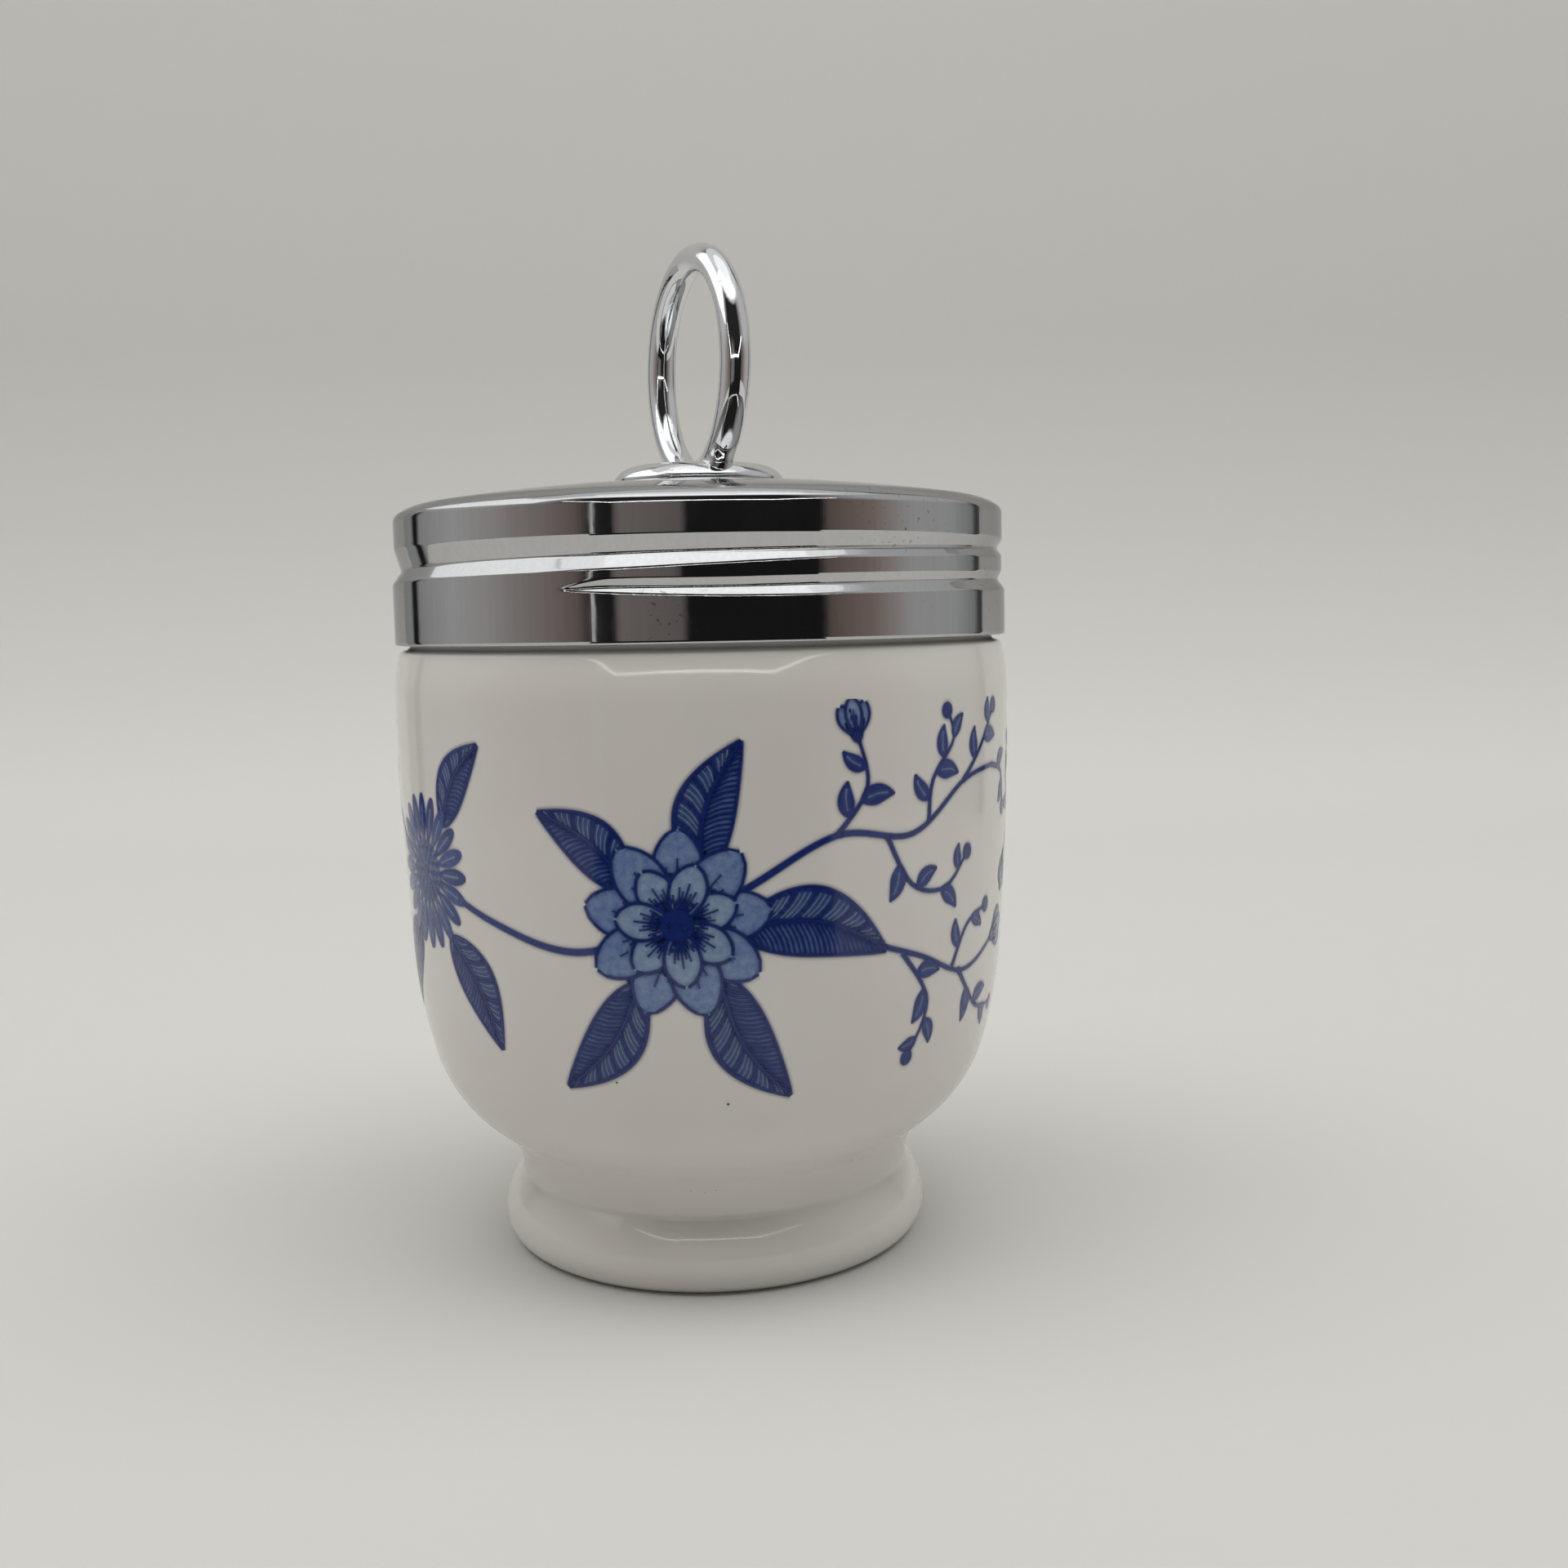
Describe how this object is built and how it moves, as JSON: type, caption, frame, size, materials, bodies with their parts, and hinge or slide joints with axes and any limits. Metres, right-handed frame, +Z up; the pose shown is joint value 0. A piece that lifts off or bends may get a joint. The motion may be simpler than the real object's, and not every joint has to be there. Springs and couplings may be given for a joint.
{
  "type": "egg coddler",
  "caption": "Round porcelain egg coddler with a screw-down chromed lid and a fixed upright lifting ring.",
  "frame": {"origin": "centre of the cup's foot ring, on the surface it stands on", "axes": "+Z up along the axis of the cup; the picture looks along +Y, so +X is to its right"},
  "size_m": [0.0604, 0.0604, 0.0983],
  "materials": {
    "porcelain": "clear glossy glaze over white porcelain, with a printed blue pattern",
    "lid_chrome": "polished chrome plate on pressed sheet, lightly worn",
    "ring_chrome": "polished chrome plate on a casting",
    "washer_metal": "plain metal, out of sight"
  },
  "bodies": {
    "cup": {"cup": "porcelain"},
    "washer": {"crown_washer": "washer_metal"},
    "lid": {"lid": "lid_chrome", "lifting_ring": "ring_chrome"}
  },
  "joints": [
    {"name": "lid_rise", "type": "slide", "parent": "cup", "child": "washer", "axis": [0, 0, 1], "range_m": [0, 0.01275]},
    {"name": "lid_turn", "type": "hinge", "parent": "washer", "child": "lid", "pos_m": [0, 0, 0.0738], "axis": [0, 0, 1], "range_deg": [0, 1530.2]}
  ],
  "couplings": [
    {"joint": "lid_turn", "follows": "lid_rise", "rad_per_m": 2094.4}
  ]
}
